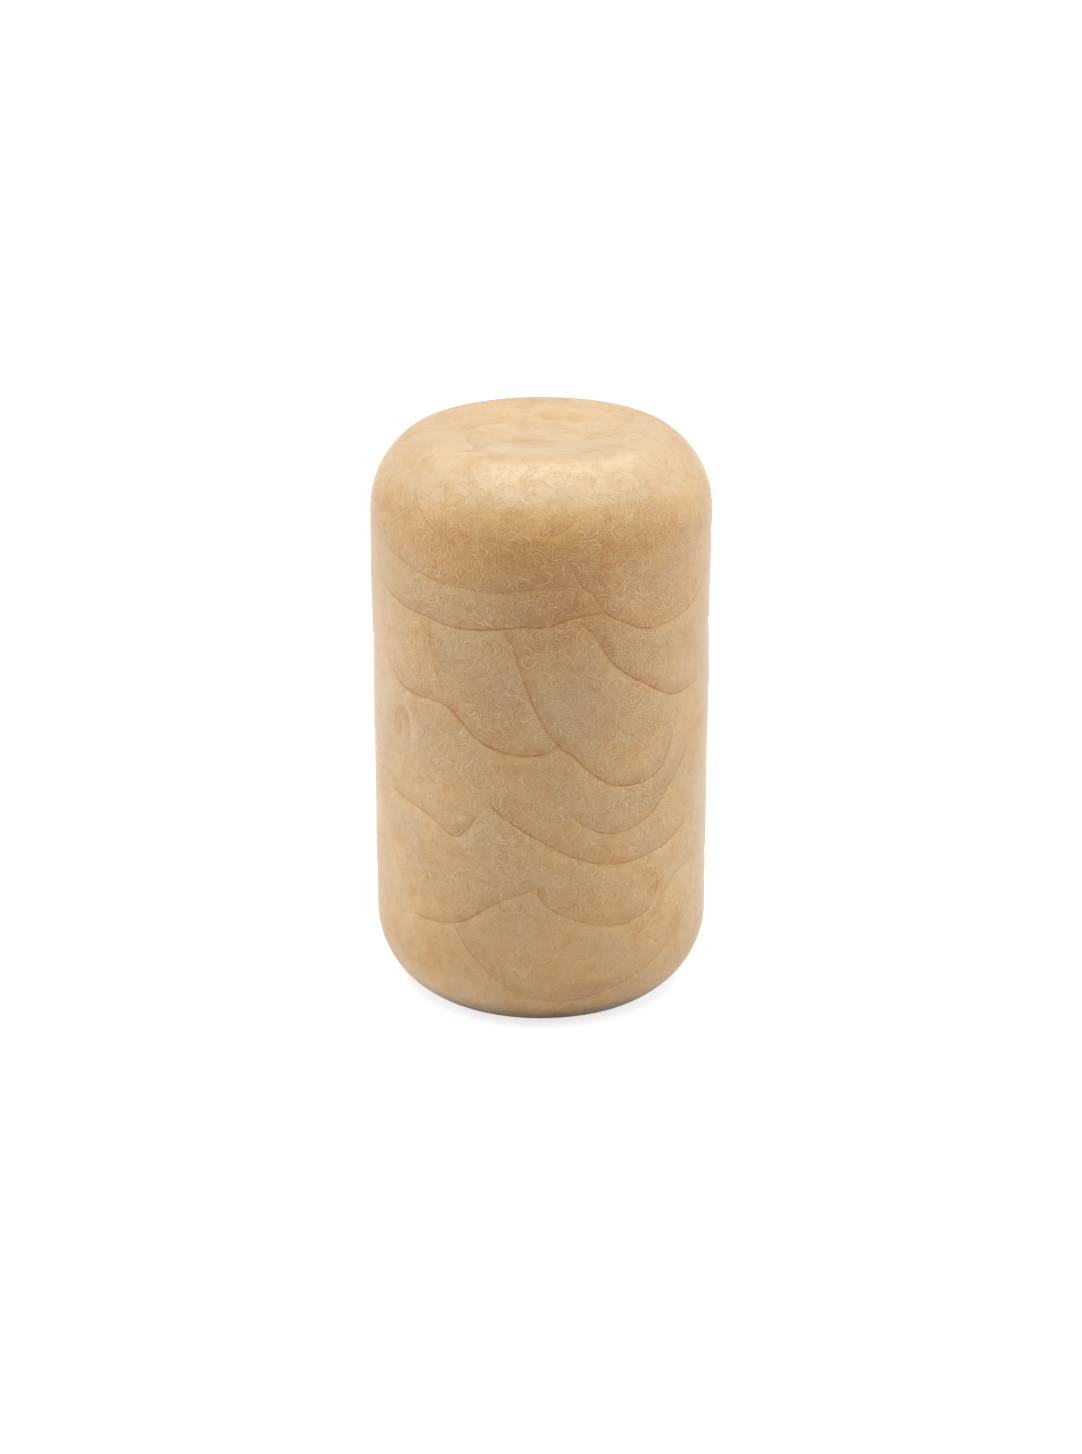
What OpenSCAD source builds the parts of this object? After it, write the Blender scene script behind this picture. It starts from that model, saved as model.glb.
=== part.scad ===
// Moulded synthetic cork: one solid of foamed plastic, the same at both ends.
// A straight side runs into each end through a shoulder of two tangent arcs.
// Each end is a flat seat ring around a shallow sink, where the foam shrank as
// it cooled. The origin is the centre of the lower end, on the plane that the
// cork stands on, and +Z runs along the axis.

/* [Body] */
// Diameter of the straight side
body_d = 22; // [18:0.5:28]
// Length from seat ring to seat ring
body_l = 38; // [30:1:50]

/* [Shoulder] */
// How far the shoulder runs along the side, from the end
shoulder_drop = 5; // [4.7:0.1:8]
// How far the shoulder reaches in over the end, from the side
shoulder_reach = 3.8; // [3:0.1:4.6]
// Radius of the rim arc, which turns the shoulder onto the end
rim_r = 2.5; // [1:0.1:2.9]

/* [End] */
// Width of the flat seat ring, between the rim and the sink
seat_w = 0.8; // [0.4:0.1:1.4]
// Depth of the sink at the axis
sink_depth = 0.6; // [0.3:0.05:1.2]
// Radius of the soft edge between the seat ring and the sink
sink_edge_r = 2; // [0.5:0.1:4]

/* [Hidden] */
$fn = 180;

body_r = body_d / 2;
half_l = body_l / 2;
side_half_l = half_l - shoulder_drop;
seat_outer_r = body_r - shoulder_reach;
seat_inner_r = seat_outer_r - seat_w;
// The side arc is tangent to the straight side and to the rim arc
side_arc_r = (pow(shoulder_reach, 2) + pow(shoulder_drop, 2) - 2 * shoulder_drop * rim_r)
    / (2 * (shoulder_reach - rim_r));
// The sink is part of a ball that is tangent to its soft edge
sink_r = (pow(seat_inner_r, 2) + pow(sink_depth, 2)) / (2 * sink_depth) - sink_edge_r;
// Tangent arcs are grown by this much, so that each crosses the next and doesn't just touch it
crossing = 0.001;

// Arc centres at the upper end, as [radius, height over the middle of the cork]
side_arc_c = [body_r - side_arc_r, side_half_l];
rim_c = [seat_outer_r, half_l - rim_r];
sink_edge_c = [seat_inner_r, half_l - sink_edge_r];
sink_c = [0, half_l - sink_depth + sink_r];

// The point at distance r from a, on the way from a through b
function beyond(a, b, r) = a + r * (b - a) / norm(b - a);

// Where the sink meets its soft edge
sink_rim = beyond(sink_edge_c, sink_c, sink_edge_r);

module disc(centre, r) {
    translate(centre) circle(r);
}

// The side arc holds from the straight side up to the line through both arc centres
module side_arc() {
    intersection() {
        disc(side_arc_c, side_arc_r + crossing);
        polygon([
            side_arc_c,
            side_arc_c + [2 * side_arc_r, -1],
            beyond(side_arc_c, rim_c, 2 * side_arc_r)
        ]);
    }
}

// Upper end, run on past the end plane
module end_block() {
    square([seat_outer_r, body_l]);
    disc(rim_c, rim_r + 2 * crossing);
    side_arc();
}

// What the sink takes out of the upper end
module sink() {
    difference() {
        union() {
            disc(sink_c, sink_r);
            translate([sink_rim.x, sink_edge_c.y])
                square([seat_inner_r - sink_rim.x, body_l]);
        }
        disc(sink_edge_c, sink_edge_r + crossing);
    }
}

// Copies what it is given onto the lower end
module both_ends() {
    children();
    mirror([0, 1]) children();
}

// Right half of the section along the axis
module section() {
    difference() {
        intersection() {
            translate([0, -half_l]) square([body_r, body_l]);
            union() {
                translate([0, -side_half_l]) square([body_d, 2 * side_half_l]);
                both_ends() end_block();
            }
        }
        both_ends() sink();
    }
}

module cork() {
    color("burlywood")
        rotate_extrude()
            translate([0, half_l])
                section();
}

cork();
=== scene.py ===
"""A moulded synthetic cork, standing on its end on a pale floor."""
import math

import bpy
import numpy as np
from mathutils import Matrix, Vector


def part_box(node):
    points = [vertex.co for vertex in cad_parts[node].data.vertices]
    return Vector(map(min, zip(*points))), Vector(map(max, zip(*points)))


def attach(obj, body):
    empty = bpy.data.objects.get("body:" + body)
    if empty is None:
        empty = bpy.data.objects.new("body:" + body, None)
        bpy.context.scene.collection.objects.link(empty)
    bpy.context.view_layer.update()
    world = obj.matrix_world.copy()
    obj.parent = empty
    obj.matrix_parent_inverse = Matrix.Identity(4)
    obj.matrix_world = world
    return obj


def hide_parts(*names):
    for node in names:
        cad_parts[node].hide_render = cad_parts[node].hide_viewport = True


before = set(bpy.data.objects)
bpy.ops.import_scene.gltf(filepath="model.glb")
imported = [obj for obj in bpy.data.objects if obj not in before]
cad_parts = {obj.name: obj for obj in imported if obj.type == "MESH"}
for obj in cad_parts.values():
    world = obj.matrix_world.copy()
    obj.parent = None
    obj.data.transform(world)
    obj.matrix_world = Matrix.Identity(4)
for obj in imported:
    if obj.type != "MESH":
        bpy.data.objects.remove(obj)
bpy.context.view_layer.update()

MM = 0.001

# The cork's own sizes: the frame's box gives the diameter and the length
low_corner, high_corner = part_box("cork")
BODY_R = (high_corner.x - low_corner.x) / 2
HALF_L = (high_corner.z - low_corner.z) / 2
SHOULDER_DROP = 5.0 * MM
SHOULDER_REACH = 3.8 * MM
RIM_R = 2.5 * MM
SEAT_W = 0.8 * MM
SINK_DEPTH = 0.6 * MM
# The skin's sink has a wider soft edge than the solid's
SINK_EDGE_R = 9.0 * MM

SEAT_OUTER_R = BODY_R - SHOULDER_REACH
SEAT_INNER_R = SEAT_OUTER_R - SEAT_W
SIDE_ARC_R = (
    (SHOULDER_REACH**2 + SHOULDER_DROP**2 - 2 * SHOULDER_DROP * RIM_R)
    / (2 * (SHOULDER_REACH - RIM_R))
)
SINK_R = (SEAT_INNER_R**2 + SINK_DEPTH**2) / (2 * SINK_DEPTH) - SINK_EDGE_R
# Angles that the arcs turn through
SINK_TURN = math.atan2(SEAT_INNER_R, SINK_R + SINK_EDGE_R - SINK_DEPTH)
SIDE_TURN = math.atan2(SHOULDER_DROP - RIM_R, SIDE_ARC_R - SHOULDER_REACH)
RIM_TURN = math.pi / 2 - SIDE_TURN

# Mesh of the skin
CELL = 0.2 * MM
ROUND_STEPS = 352

# Camera: distance and tilt to the point that it looks at, on the cork's axis
CAMERA_DISTANCE = 214.9 * MM
CAMERA_TILT = math.radians(21.57)
CAMERA_LOOKS_AT = 17.55 * MM
CAMERA_LENS = 80.5
CAMERA_CLIP = 10 * MM

# Lamps: name, place and size in metres, and power in watts. The world adds a little light from all
# round.
SOFTBOXES = [
    ("top softbox", (0, 0.1, 0.5), 0.6, 2.9),
    ("front softbox", (0, -0.35, 0.45), 0.4, 0.8),
    ("left softbox", (-0.5, 0, 0.15), 0.5, 2.0),
    ("right softbox", (0.5, 0, 0.15), 0.5, 1.95),
]
WORLD_LIGHT = 0.144
WHITE = (1, 1, 1, 1)

# Flow fronts, where one tongue of foam set against the next. Each is the depth of its crease in
# millimetres, the lane that keeps it apart from the fronts that it meets, the lengths over which
# it fades at its two ends, and its course as (degrees round the side, millimetres up). The camera
# side is at 0 degrees, and +X is at 90.
FRONTS = [
    (0.050, 0, (3, 0.5), [(-72, 29.7), (-66, 29.2), (-58, 28.7), (-50, 28.4), (-41, 28.3), (-33, 28.05),
                          (-25, 28.0), (-15, 28.2), (-6, 28.45), (3, 28.5), (8, 28.9), (14, 29.1),
                          (20.5, 29.2)]),
    (0.040, 1, (0.5, 4), [(20, 29.35), (24, 28.8), (29, 28.3), (34, 27.8), (40, 27.6), (48, 27.7),
                          (58, 28.0), (65, 28.6), (71, 29.5), (76, 30.8)]),
    (0.030, 2, (3, 1), [(-69, 32.1), (-58, 31.7), (-46, 31.2), (-34, 30.8), (-25, 30.65), (-15, 30.6),
                        (-5, 30.9), (6, 31.05), (12, 31.1)]),
    (0.030, 3, (2, 0.5), [(8.5, 33.2), (10, 32.3), (12.5, 31.3), (16, 30.6), (19, 29.9), (21, 29.2)]),
    (0.050, 4, (0.5, 4), [(12.5, 28.9), (15, 28.3), (18.5, 27.5), (21, 26.6), (24, 25.8), (28, 25.1),
                          (33, 24.4), (39, 23.7), (45, 23.0), (50, 22.6), (57, 22.55), (64, 22.75),
                          (72, 23.3)]),
    (0.045, 2, (0.5, 4), [(-12.5, 28.3), (-10, 27.5), (-8.5, 26.7), (-7, 25.7), (-4.5, 24.3),
                          (-1.5, 22.8), (1.5, 21.7), (6, 20.5), (10, 19.9), (14, 19.1), (19, 18.2),
                          (24, 17.6), (30, 17.3), (37, 17.35), (43, 17.75), (48, 18.9), (51, 20.6),
                          (53.5, 22.4)]),
    (0.050, 0, (4, 0.3), [(-70, 25.6), (-64, 24.6), (-59, 23.7), (-53, 23.0), (-46, 22.8), (-36, 22.75),
                          (-31, 22.4), (-27, 21.7), (-22, 20.8), (-17, 20.3), (-10, 19.95), (-3, 19.9),
                          (2, 20.1), (6, 20.6)]),
    (0.025, 3, (1, 1), [(-40, 28.0), (-39, 26.2), (-37, 24.8), (-34.5, 23.6), (-32, 22.8)]),
    (0.050, 1, (1, 4), [(-19.5, 17.2), (-17.5, 16.5), (-13, 15.7), (-7, 14.9), (0, 14.05), (7, 13.25),
                        (14, 12.6), (20, 12.2), (28, 12.0), (37, 12.1), (46, 12.4), (55, 13.1),
                        (63, 14.0)]),
    (0.040, 3, (1.5, 4), [(8.5, 16.6), (11, 15.7), (15, 14.9), (20, 14.4), (27, 14.2), (34, 14.45),
                          (41, 15.1), (47, 16.2), (53, 17.3), (59, 18.4), (64, 19.3), (70, 20.0)]),
    (0.020, 5, (2, 2), [(52, 15.4), (57, 14.6), (63, 14.0), (69, 13.9)]),
    (0.040, 4, (4, 1.5), [(-73, 15.3), (-63, 15.5), (-54, 15.3), (-45, 15.0), (-38, 14.5), (-33, 13.95),
                          (-29, 13.85), (-25.5, 14.4), (-22.5, 15.3), (-20, 16.1)]),
    (0.040, 0, (4, 0.4), [(-58, 7.8), (-50, 7.4), (-41, 7.4), (-33, 7.6), (-27, 8.0), (-21, 8.8),
                          (-15, 9.6), (-9, 10.2), (-1.5, 10.8)]),
    (0.040, 2, (0.3, 1.5), [(-1, 11.0), (-0.5, 10.2), (2, 9.5), (7, 8.9), (13, 8.35), (20, 7.9),
                            (28, 7.7), (36, 8.0), (41, 8.7), (43.5, 10.0), (43.5, 11.2)]),
    (0.025, 1, (3, 4), [(24, 6.5), (31, 6.5), (37, 7.0), (42, 7.9), (46, 9.0), (51, 9.9), (57, 10.2),
                        (66, 10.5), (74, 11.4)]),
    (0.015, 2, (2, 1), [(-50, 12.2), (-45, 11.1), (-41, 10.0), (-37, 8.8), (-33, 7.8)]),
    (0.035, 3, (0.5, 5), [(-31, 7.7), (-28, 6.6), (-24, 5.7), (-19, 4.7), (-13, 3.7), (-6, 2.95),
                          (2, 2.55), (10, 2.5), (18, 2.75), (27, 3.3), (36, 4.0), (45, 4.8), (54, 6.0),
                          (63, 7.1), (70, 8.4)]),
    (0.020, 4, (1, 2), [(-52, 36.2), (-46, 35.1), (-39, 34.2), (-31, 33.5), (-23, 33.2)]),
    (0.020, 5, (1, 1), [(-4, 34.0), (2, 34.25), (8, 34.7), (12, 35.3), (14, 36.0)]),
    (0.030, 1, (0.6, 0.4), [(-50.5, 19.3), (-49.6, 20.3), (-50.8, 21.2), (-53.5, 21.6), (-56.5, 21.3),
                            (-58.3, 20.5), (-57.5, 19.6), (-55.5, 19.5), (-54.6, 20.2), (-55.6, 20.7)]),
    # The back
    (0.035, 0, (3, 3), [(79, 34.0), (86, 31.9), (95, 30.4), (104, 29.6), (114, 29.3), (124, 29.8),
                        (132, 30.9), (138, 32.4), (142, 34.2)]),
    (0.050, 3, (0.5, 4), [(127, 30.2), (134, 28.6), (143, 27.4), (154, 26.9), (166, 27.1), (177, 28.0),
                          (187, 29.4), (193, 31.2), (196, 33.0)]),
    (0.030, 1, (0.5, 4), [(184, 28.9), (192, 28.6), (202, 28.7), (213, 29.4), (224, 29.7), (236, 29.5),
                          (248, 29.6), (262, 30.3), (276, 31.2)]),
    (0.020, 5, (2, 3), [(206, 33.6), (214, 32.5), (224, 32.1), (236, 32.4), (247, 33.4)]),
    (0.040, 2, (3, 2), [(71, 27.2), (79, 25.9), (90, 25.2), (101, 25.0), (111, 25.4), (120, 26.5),
                        (127, 28.0)]),
    (0.050, 5, (0.5, 1), [(112, 25.4), (118, 24.4), (125, 22.8), (135, 20.3), (147, 18.1), (160, 17.1),
                          (173, 17.7), (183, 19.7), (190, 22.0), (194, 23.8)]),
    (0.040, 0, (0.5, 4), [(166, 27.0), (172, 25.4), (180, 24.3), (190, 23.8), (202, 23.9), (213, 24.6),
                          (225, 25.9), (233, 27.3), (239, 28.9)]),
    (0.035, 3, (0.5, 4), [(216, 25.0), (224, 23.6), (234, 22.6), (246, 22.2), (259, 22.6), (271, 23.8),
                          (281, 25.4), (289, 27.2)]),
    (0.025, 1, (1, 1), [(147, 26.9), (150, 24.9), (155, 22.4), (160, 19.8), (165, 17.4)]),
    (0.018, 0, (1, 1), [(98, 24.8), (100, 22.8), (104, 20.8), (108, 18.6)]),
    (0.040, 4, (3, 1), [(77, 23.4), (84, 21.0), (94, 19.2), (106, 18.3), (119, 18.5), (128, 19.4),
                        (134, 20.5)]),
    (0.045, 2, (0.5, 1), [(184, 20.2), (193, 18.4), (205, 17.3), (218, 17.4), (230, 18.6), (240, 20.4),
                          (246, 22.1)]),
    (0.020, 4, (1, 1), [(222, 23.8), (224, 22.2), (227, 20.4), (231, 18.8)]),
    (0.035, 1, (0.5, 4), [(235, 19.4), (246, 17.8), (257, 17.0), (269, 17.1), (280, 18.1),
                          (289, 19.7)]),
    (0.030, 0, (4, 1), [(72, 15.4), (85, 14.2), (98, 13.9), (111, 14.4), (124, 15.7), (134, 17.4),
                        (141, 19.0)]),
    (0.050, 3, (1, 1), [(113, 14.4), (122, 14.1), (133, 12.7), (148, 11.0), (165, 10.4), (182, 10.9),
                        (196, 12.4), (207, 14.6), (214, 17.2)]),
    (0.040, 5, (0.5, 3), [(205, 14.0), (216, 12.3), (228, 11.6), (240, 12.1), (250, 13.6),
                          (257, 15.8)]),
    (0.030, 4, (0.5, 3), [(250, 13.6), (262, 12.6), (274, 12.5), (286, 13.3)]),
    (0.035, 1, (2, 1), [(74, 10.9), (85, 9.3), (97, 8.5), (110, 8.6), (121, 9.6), (129, 11.0),
                        (134, 12.6)]),
    (0.040, 2, (0.5, 2), [(141, 11.7), (146, 9.0), (154, 7.0), (165, 5.9), (178, 6.1), (190, 7.3),
                          (200, 9.3), (206, 11.5)]),
    (0.015, 4, (1, 1), [(172, 10.5), (170, 9.2), (172, 7.6), (176, 6.1)]),
    (0.035, 0, (0.5, 3), [(196, 8.4), (208, 7.0), (221, 6.6), (233, 7.6), (242, 9.4), (247, 11.6)]),
    (0.025, 3, (0.5, 4), [(238, 8.5), (250, 7.6), (263, 7.4), (276, 8.2), (287, 9.6)]),
    (0.025, 5, (3, 1), [(82, 6.2), (94, 4.6), (108, 3.6), (122, 3.3), (135, 3.8), (147, 4.9),
                        (156, 6.5)]),
    (0.030, 3, (0.5, 3), [(166, 5.7), (176, 4.2), (190, 3.4), (205, 3.7), (218, 4.9), (226, 6.5)]),
    (0.025, 1, (0.5, 4), [(211, 4.3), (224, 3.2), (239, 2.6), (254, 2.9), (267, 3.9), (278, 5.4)]),
]
# Creases and scratches of an end, laid out as the fronts are. Their courses are in millimetres
# right and back.
END_MARKS = [
    (0.025, 0, (0.5, 0.5), [(-5.7, -5.3), (-4.5, -5.0), (-3.2, -4.4)]),
    (0.020, 1, (0.5, 0.5), [(3.3, -0.3), (4.4, 0.2), (5.6, 0.9)]),
    (0.027, 2, (0.5, 1.5), [(-0.3, 4.4), (0.4, 3.5), (1.2, 3.5), (2.1, 2.95), (3.3, 2.5), (4.6, 2.4)]),
    (0.018, 3, (0.8, 1.0), [(1.0, 1.3), (2.3, 0.5), (3.0, -0.6), (3.3, -1.7)]),
    (0.020, 4, (0.5, 1.0), [(-5.0, -0.2), (-4.4, 0.9), (-3.9, 1.7), (-2.9, 2.35), (-1.7, 3.1)]),
    (0.020, 5, (0.5, 1.0), [(-4.6, -0.6), (-4.6, -2.6), (-4.0, -4.1), (-3.4, -5.6), (-3.0, -7.2)]),
    (0.016, 2, (0.5, 0.5), [(-1.1, -4.6), (-1.0, -6.0), (-1.3, -7.4)]),
    (0.022, 4, (0.4, 0.4), [(1.9, -6.2), (2.7, -5.4), (3.4, -5.0), (4.0, -5.6), (3.9, -6.8)]),
    (0.018, 3, (0.4, 0.4), [(5.2, -2.6), (5.3, -1.2), (6.1, -0.8), (6.6, -1.8)]),
    (0.014, 3, (0.5, 0.5), [(-2.4, -2.2), (-1.6, -1.0), (-0.2, -0.7), (0.7, -1.5)]),
    (0.016, 1, (0.5, 0.5), [(-6.9, 2.0), (-5.7, 2.3), (-4.8, 3.2)]),
    (0.014, 0, (0.5, 0.5), [(-2.2, 6.0), (-0.8, 6.4), (0.8, 6.2)]),
    (0.014, 5, (0.5, 0.5), [(3.2, 5.0), (4.2, 4.4), (4.8, 3.4)]),
]
# The other end shows the same kind of marks, turned this many degrees
END_TURN = 140

# Colours of the skin, linear
WARM_TAN = (0.518, 0.324, 0.143, 1)
GREY_TAN = (0.483, 0.319, 0.160, 1)
END_TAN = (0.610, 0.444, 0.260, 1)
CURL_TAN = (0.80, 0.59, 0.35, 1)
# Tints that multiply the colour that they cover
WARM_STAIN = (0.95, 0.83, 0.67, 1)
GREY_STAIN = (0.90, 0.87, 0.86, 1)
# Pale stains, with painted highlight at the front of the ends' shoulders and painted sheen towards the
# flanks
PALE_STAIN_AND_HIGHLIGHT = (1.17, 1.25, 1.40, 1)
SHOULDER_TINT = (1.04, 0.97, 0.78, 1)
BLOTCH_TINT = (0.94, 0.86, 0.74, 1)
SHADE_TINT = (0.91, 0.86, 0.78, 1)
LIGHT_TINT = (1.06, 1.10, 1.12, 1)
# Painted shade in the grooves beside the curls
GROOVE_SHADE_TINT = (0.87, 0.74, 0.55, 1)
LINE_TINT = (0.80, 0.53, 0.17, 1)
# Painted shade that darkens the foot towards the floor
FOOT_SHADE_TINT = (0.33, 0.235, 0.14, 1)
# Stains of the skin: degrees round, millimetres up, radius, and how warm, grey and pale. The pale ones
# towards the left and right edges are partly a painted sheen.
SIDE_STAINS_AND_SHEEN = [
    (4, 33.2, 4.0, 1.0, 0.0, 0.0),
    (0, 31.3, 3.0, 0.4, 0.8, 0.0),
    (-30, 32.5, 3.0, 0.4, 0.0, 0.0),
    (38, 32.0, 3.2, 0.8, 0.0, 0.0),
    (10, 29.5, 3.5, 0.6, 0.6, 0.0),
    (0, 30.3, 1.6, 0.3, 0.8, 0.0),
    (0, 17.5, 2.2, 0.0, 0.5, 0.0),
    (12, 25.0, 3.2, 0.0, 0.8, 0.0),
    (-14, 24.0, 3.4, 0.0, 0.9, 0.0),
    (8, 20.5, 2.6, 0.0, 0.6, 0.0),
    (-62, 22.0, 3.0, 0.0, 0.0, 0.5),
    (62, 12.0, 3.0, 0.0, 0.0, 0.4),
    (-66, 12.0, 3.4, 0.0, 0.0, 0.5),
    (-45, 15.0, 2.6, 0.0, 0.0, 0.35),
    (-58, 7.5, 3.0, 0.0, 0.0, 0.35),
    (-68, 18.0, 3.0, 0.0, 0.0, 0.3),
    (-68, 27.0, 3.5, 0.0, 0.0, 0.3),
    (62, 8.0, 3.0, 0.0, 0.0, 0.35),
    (-40, 16.0, 2.6, 0.0, 0.0, 0.2),
    (0, 3.5, 5.0, 0.4, 0.0, 0.0),
    (-55, 20.9, 0.8, 1.1, 0.0, 0.0),
    (-49.5, 20.2, 0.5, 0.0, 0.0, 0.5),
    (-50, 17.5, 3.0, 0.0, 0.3, 0.45),
    (-60, 25.0, 3.0, 0.0, 0.1, 0.3),
    (54, 22.0, 2.5, 0.0, 0.1, 0.35),
    (-50, 9.0, 2.5, 0.0, 0.1, 0.3),
    (-38, 14.5, 4.5, 0.0, 0.6, 0.45),
    (-48, 9.5, 3.0, 0.0, 0.3, 0.25),
    (-46, 23.0, 4.0, 0.0, 0.6, 0.45),
    (-62, 6.0, 2.5, 0.0, 0.0, 0.4),
    (36, 11.5, 2.5, 0.0, 0.1, 0.2),
    (44, 11.0, 3.0, 0.0, 0.15, 0.3),
    (54, 8.5, 2.5, 0.0, 0.0, 0.25),
    (21, 29.2, 0.5, 1.0, 0.2, 0.0),
    (8, 28.7, 0.4, 1.0, 0.2, 0.0),
    (6, 20.6, 0.4, 1.0, 0.2, 0.0),
    (-30, 22.4, 0.5, 0.8, 0.0, 0.0),
    (33, 24.5, 0.5, 1.0, 0.2, 0.0),
    (27, 12.0, 0.5, 0.9, 0.0, 0.0),
    (57, 22.6, 0.5, 0.8, 0.0, 0.0),
    (31, 17.3, 0.5, 0.9, 0.0, 0.0),
    (-1, 10.9, 0.4, 1.0, 0.3, 0.0),
    (-28, 8.0, 0.5, 0.9, 0.0, 0.0),
    (67, 19.6, 0.4, 0.9, 0.2, 0.0),
]
# Stains of an end, laid out as the skin's are, but placed in millimetres right and back. The palest, at
# the front of the shoulder, are a painted highlight.
END_STAINS_AND_HIGHLIGHT = [
    (-5.4, -7.4, 1.4, 0.0, 0.0, 0.3),
    (-3.6, -8.6, 1.5, 0.0, 0.0, 0.6),
    (-1.7, -9.2, 1.5, 0.0, 0.0, 1.2),
    (0.3, -9.4, 1.5, 0.0, 0.0, 1.0),
    (2.3, -9.1, 1.5, 0.0, 0.0, 0.9),
    (4.2, -8.2, 1.4, 0.0, 0.0, 0.6),
    (5.6, -6.7, 1.3, 0.0, 0.0, 0.55),
    (0.2, -10.3, 1.3, 0.0, 0.0, 0.6),
    (0.2, -8.0, 1.2, 0.0, 0.0, 0.4),
    (3.2, -7.9, 1.4, 0.0, 0.0, 0.3),
    (-9.2, -4.0, 2.0, 0.0, 1.0, 0.0),
    (-8.1, -6.2, 1.5, 0.0, 0.7, 0.0),
    (-6.4, -5.2, 1.3, 0.0, 0.0, 0.3),
    (0.0, 4.2, 1.2, 0.4, 0.0, 0.0),
    (-2.6, 6.6, 1.3, 0.45, 0.0, 0.0),
    (-5.4, 0.4, 2.0, 0.45, 0.0, 0.0),
    (-2.6, -4.6, 1.3, 0.0, 0.0, 0.3),
    (0.0, -5.4, 1.1, 0.0, 0.0, 0.4),
    (-1.0, -3.4, 1.2, 0.0, 0.0, 0.25),
    (3.0, -5.0, 1.2, 0.2, 0.0, 0.0),
]
# Layers of curls: strength, shift, cell, spacing of the rings, width, warp, arc length and cover
CURLS = [
    (1.0, (3.1, 7.7, 1.3), 1.30, 0.32, 0.050, 1.0, 0.9, 0.49),
    (1.0, (9.4, 2.2, 5.9), 0.90, 0.30, 0.046, 0.8, 0.7, 0.49),
    (0.9, (5.5, 4.1, 8.2), 1.90, 0.40, 0.050, 1.2, 1.1, 0.49),
    (0.6, (1.7, 6.3, 4.4), 1.00, 0.20, 0.042, 0.6, 0.5, 0.50),
]
# Short dense curls of the upper shoulder, laid out as the others are
FRIZZ = [(0.8, (8.3, 6.1, 2.7), 0.60, 0.23, 0.042, 0.5, 0.45, 0.48)]
# Long faint creases, laid out as the curls are
CREASES = [
    (1.0, (2.6, 8.8, 4.9), 5.00, 1.10, 0.075, 3.0, 2.2, 0.42),
    (0.8, (7.3, 1.9, 3.7), 3.60, 0.80, 0.065, 2.4, 1.6, 0.40),
]
# The rings of a layer are bent by noise of this scale per millimetre, and each is cut into arcs by
# its own piece of noise, up to this far from its neighbour's. An arc ends over these noise values.
RING_WANDER = 0.7
ARC_SHIFT = 60.0
ARC_ENDS = (-0.02, 0.06)
# Where the raised line and its groove run, in widths from the middle of the ring
CURL_MIDDLE = 0.4
GROOVE_MIDDLE = -1.1
# How the curls change with height: from one height to the next they grow or fade by this much
CURL_ZONES = [(16.0, 4.0, 0.52), (24.0, 31.0, 1.25), (35.0, 36.8, 0.55)]
# On the left and right flanks only this share of the curls is left. Towards the front and the back
# they grow whole between these distances from the axis, in millimetres.
FLANKS = (4.4, 9.3)
FLANK_CURLS = 0.25
# Heights that a zone of the skin starts or stops over, in millimetres
UPPER_END = (33.4, 36.4)
LOWER_END = (1.6, 0.2)
SHOULDER_STARTS = (30.5, 33.5)
SHOULDER_STOPS = (36.8, 35.2)
FRIZZ_STARTS = (30.0, 33.0)
FRIZZ_STOPS = (37.0, 35.8)
# The foot, where painted shade darkens the colour and the finish is duller
FOOT = (2.2, 0.3)
# The edges of the coloured zones wander up and down: scale per millimetre, detail, and by how much
ZONE_WANDER = (0.45, 3.0)
WANDER_HEIGHT = 3.0

# Patches: noise scale per millimetre, detail and roughness, the two noise values that a mask eases
# between, and the mask's values there
CLOUDS = (0.22, 3.0, 0.6, 0.35, 0.65, 0.0, 1.0)
BLOTCHES = (0.42, 4.0, 0.65, 0.45, 0.7, 0.0, 1.0)
FLECKS = (1.5, 3.0, 0.7, 0.42, 0.68, 0.0, 0.9)
RAGGED_STAINS_AND_HIGHLIGHTS = (0.5, 3.0, 0.6, 0.3, 0.7, 0.4, 1.3)
CURL_PATCHES = (0.3, 2.0, 0.5, 0.35, 0.6, 0.6, 1.0)
LINE_WIDTHS = (0.9, 2.0, 0.5, 0.35, 0.65, 0.08, 0.15)
LINE_GAPS = (0.55, 1.0, 0.5, 0.35, 0.6, 0.5, 1.0)
# How strongly the blotches show on the side, and the lines of the curls and creases on the skin. The
# grooves beside the curls are darkened as painted shade.
SIDE_BLOTCHES = 0.85
CURL_SHOWS = 0.33
GROOVE_SHADE_SHOWS = 0.6
STRAND_SHOWS = 0.2
CREASE_SHOWS = 0.3

# Finish: dull foam with a soft sheen, duller at the foot, where painted shade also darkens the colour
# towards the floor
SKIN_ROUGHNESS = 0.5
FOOT_ROUGHNESS = 1.0
SHEEN = 0.45
SHEEN_ROUGHNESS = 0.35
# Heights of the fine relief in millimetres, and the grain's scale per millimetre and its detail
CURL_HEIGHT = 0.018
LINE_DEPTH = 0.012
GRAIN_HEIGHT = 0.012
GRAIN = (5.0, 2.0)

# Floor shades: the one that lights the cork, and the one that is seen. The seen floor also glows, so
# that it is white. Under the cork it glows less, and the glow grows to full between two distances
# from the axis.
FLOOR_LIT = (0.88, 0.88, 0.88, 1)
FLOOR_SEEN = (0.45, 0.45, 0.45, 1)
FLOOR_GLOW = 0.75
FLOOR_FADE = (8.5 * MM, 11.5 * MM)
FLOOR_SIZE = 4

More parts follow.
